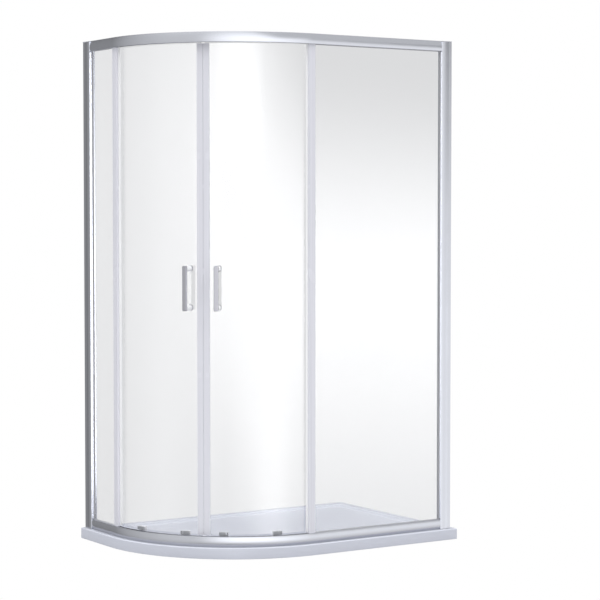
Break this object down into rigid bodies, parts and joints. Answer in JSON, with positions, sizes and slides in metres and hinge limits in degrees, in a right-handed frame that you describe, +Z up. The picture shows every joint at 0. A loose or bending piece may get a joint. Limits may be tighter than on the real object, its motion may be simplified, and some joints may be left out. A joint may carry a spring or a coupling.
{
  "type": "quadrant shower enclosure",
  "caption": "Offset quadrant shower enclosure: low tray, bent silver rails between wall posts, flat fixed panes and curved glass doors that slide apart, with bar handles.",
  "frame": {"origin": "on the floor at the centre of the tray rectangle", "axes": "+Z up, long wall at +Y, short wall at +X, doors face -X and -Y"},
  "size_m": [1.2, 0.8, 1.89],
  "materials": {
    "tray": "gloss white resin",
    "glass": "clear toughened",
    "silver_frame": "polished silver",
    "cap_plastic": "silver grey",
    "chrome": "bright plated",
    "clear_profile": "translucent",
    "magnet": "satin",
    "rubber": "matt",
    "steel": "plated",
    "nylon": "satin nylon",
    "guide_plastic": "silver grey",
    "dark_plastic": "moulded"
  },
  "bodies": {
    "enclosure": {"bottom_rail": "silver_frame", "fixed_glass_front": "glass", "fixed_glass_left": "glass", "fixed_stile_front": "clear_profile", "fixed_stile_left": "clear_profile", "glazing_rubber_front": "rubber", "glazing_rubber_left": "rubber", "post_caps": "cap_plastic", "post_screws": "steel", "shower_tray": "tray", "top_rail": "silver_frame", "travel_stops": "rubber", "wall_channel_front": "silver_frame", "wall_channel_left": "silver_frame", "wall_post_front": "silver_frame", "wall_post_left": "silver_frame", "waste_flange": "chrome", "waste_nut": "dark_plastic", "waste_seal": "rubber"},
    "waste_cover": {"waste_cover": "chrome"},
    "front_door": {"front_door_edge_seal": "clear_profile", "front_door_glass": "glass", "front_door_guide_housings": "guide_plastic", "front_door_guide_plates": "guide_plastic", "front_door_handle_bar": "chrome", "front_door_handle_bolts": "chrome", "front_door_handle_posts": "chrome", "front_door_handle_washers": "clear_profile", "front_door_inner_spring": "steel", "front_door_magnet_profile": "clear_profile", "front_door_magnet_strip": "magnet", "front_door_outer_spring": "steel", "front_door_roller_bolts": "steel", "front_door_roller_cams": "guide_plastic"},
    "front_inner_slider": {"front_door_inner_slider": "guide_plastic"},
    "front_inner_top_wheel": {"front_door_inner_top_wheel": "nylon"},
    "front_inner_lower_wheel": {"front_door_inner_lower_wheel": "nylon"},
    "front_outer_slider": {"front_door_outer_slider": "guide_plastic"},
    "front_outer_top_wheel": {"front_door_outer_top_wheel": "nylon"},
    "front_outer_lower_wheel": {"front_door_outer_lower_wheel": "nylon"},
    "left_door": {"left_door_edge_seal": "clear_profile", "left_door_glass": "glass", "left_door_guide_housings": "guide_plastic", "left_door_guide_plates": "guide_plastic", "left_door_handle_bar": "chrome", "left_door_handle_bolts": "chrome", "left_door_handle_posts": "chrome", "left_door_handle_washers": "clear_profile", "left_door_inner_spring": "steel", "left_door_magnet_profile": "clear_profile", "left_door_magnet_strip": "magnet", "left_door_outer_spring": "steel", "left_door_roller_bolts": "steel", "left_door_roller_cams": "guide_plastic"},
    "left_inner_slider": {"left_door_inner_slider": "guide_plastic"},
    "left_inner_top_wheel": {"left_door_inner_top_wheel": "nylon"},
    "left_inner_lower_wheel": {"left_door_inner_lower_wheel": "nylon"},
    "left_outer_slider": {"left_door_outer_slider": "guide_plastic"},
    "left_outer_top_wheel": {"left_door_outer_top_wheel": "nylon"},
    "left_outer_lower_wheel": {"left_door_outer_lower_wheel": "nylon"}
  },
  "joints": [
    {"name": "waste_cover_lift", "type": "slide", "parent": "enclosure", "child": "waste_cover", "axis": [0, 0, 1], "range_m": [0, 0.06]},
    {"name": "front_door_slide", "type": "hinge", "parent": "enclosure", "child": "front_door", "pos_m": [-0.0285, 0.2166, 0], "axis": [0, 0, 1], "range_deg": [0, 23.01]},
    {"name": "front_inner_slider_press", "type": "slide", "parent": "front_door", "child": "front_inner_slider", "axis": [0, 0, -1], "range_m": [0, 0.004], "stiffness_N_per_m": 300, "springref_m": -0.004, "deforming": ["front_door_inner_spring"]},
    {"name": "front_inner_top_wheel_spin", "type": "hinge", "parent": "front_door", "child": "front_inner_top_wheel", "pos_m": [-0.35812, -0.2664, 1.8788], "axis": [0.5948, 0.8039, 0], "range_deg": [0, 1605]},
    {"name": "front_inner_lower_wheel_spin", "type": "hinge", "parent": "front_inner_slider", "child": "front_inner_lower_wheel", "pos_m": [-0.35812, -0.2664, 0.0536], "axis": [0.5948, 0.8039, 0], "range_deg": [-2246, 0]},
    {"name": "front_outer_slider_press", "type": "slide", "parent": "front_door", "child": "front_outer_slider", "axis": [0, 0, -1], "range_m": [0, 0.004], "stiffness_N_per_m": 300, "springref_m": -0.004, "deforming": ["front_door_outer_spring"]},
    {"name": "front_outer_top_wheel_spin", "type": "hinge", "parent": "front_door", "child": "front_outer_top_wheel", "pos_m": [-0.17575, -0.3525, 1.8788], "axis": [0.2428, 0.9701, 0], "range_deg": [0, 1613]},
    {"name": "front_outer_lower_wheel_spin", "type": "hinge", "parent": "front_outer_slider", "child": "front_outer_lower_wheel", "pos_m": [-0.17575, -0.3525, 0.0536], "axis": [0.2428, 0.9701, 0], "range_deg": [-2257, 0]},
    {"name": "left_door_slide", "type": "hinge", "parent": "enclosure", "child": "left_door", "pos_m": [-0.0362, 0.1547, 0], "axis": [0, 0, -1], "range_deg": [0, 18.89]},
    {"name": "left_inner_slider_press", "type": "slide", "parent": "left_door", "child": "left_inner_slider", "axis": [0, 0, -1], "range_m": [0, 0.004], "stiffness_N_per_m": 300, "springref_m": -0.004, "deforming": ["left_door_inner_spring"]},
    {"name": "left_inner_top_wheel_spin", "type": "hinge", "parent": "left_door", "child": "left_inner_top_wheel", "pos_m": [-0.46369, -0.16174, 1.8788], "axis": [-0.7986, -0.6018, 0], "range_deg": [0, 1199]},
    {"name": "left_inner_lower_wheel_spin", "type": "hinge", "parent": "left_inner_slider", "child": "left_inner_lower_wheel", "pos_m": [-0.46369, -0.16174, 0.0536], "axis": [-0.7986, -0.6018, 0], "range_deg": [-1677, 0]},
    {"name": "left_outer_slider_press", "type": "slide", "parent": "left_door", "child": "left_outer_slider", "axis": [0, 0, -1], "range_m": [0, 0.004], "stiffness_N_per_m": 300, "springref_m": -0.004, "deforming": ["left_door_outer_spring"]},
    {"name": "left_outer_top_wheel_spin", "type": "hinge", "parent": "left_door", "child": "left_outer_top_wheel", "pos_m": [-0.55139, 0.01987, 1.8788], "axis": [-0.9679, -0.2512, 0], "range_deg": [0, 1200]},
    {"name": "left_outer_lower_wheel_spin", "type": "hinge", "parent": "left_outer_slider", "child": "left_outer_lower_wheel", "pos_m": [-0.55139, 0.01987, 0.0536], "axis": [-0.9679, -0.2512, 0], "range_deg": [-1679, 0]}
  ],
  "couplings": [
    {"joint": "front_inner_top_wheel_spin", "follows": "front_door_slide", "ratio": 69.613},
    {"joint": "front_inner_lower_wheel_spin", "follows": "front_door_slide", "ratio": -97.459},
    {"joint": "front_outer_top_wheel_spin", "follows": "front_door_slide", "ratio": 69.982},
    {"joint": "front_outer_lower_wheel_spin", "follows": "front_door_slide", "ratio": -97.974},
    {"joint": "left_inner_top_wheel_spin", "follows": "left_door_slide", "ratio": 63.318},
    {"joint": "left_inner_lower_wheel_spin", "follows": "left_door_slide", "ratio": -88.645},
    {"joint": "left_outer_top_wheel_spin", "follows": "left_door_slide", "ratio": 63.398},
    {"joint": "left_outer_lower_wheel_spin", "follows": "left_door_slide", "ratio": -88.757}
  ]
}
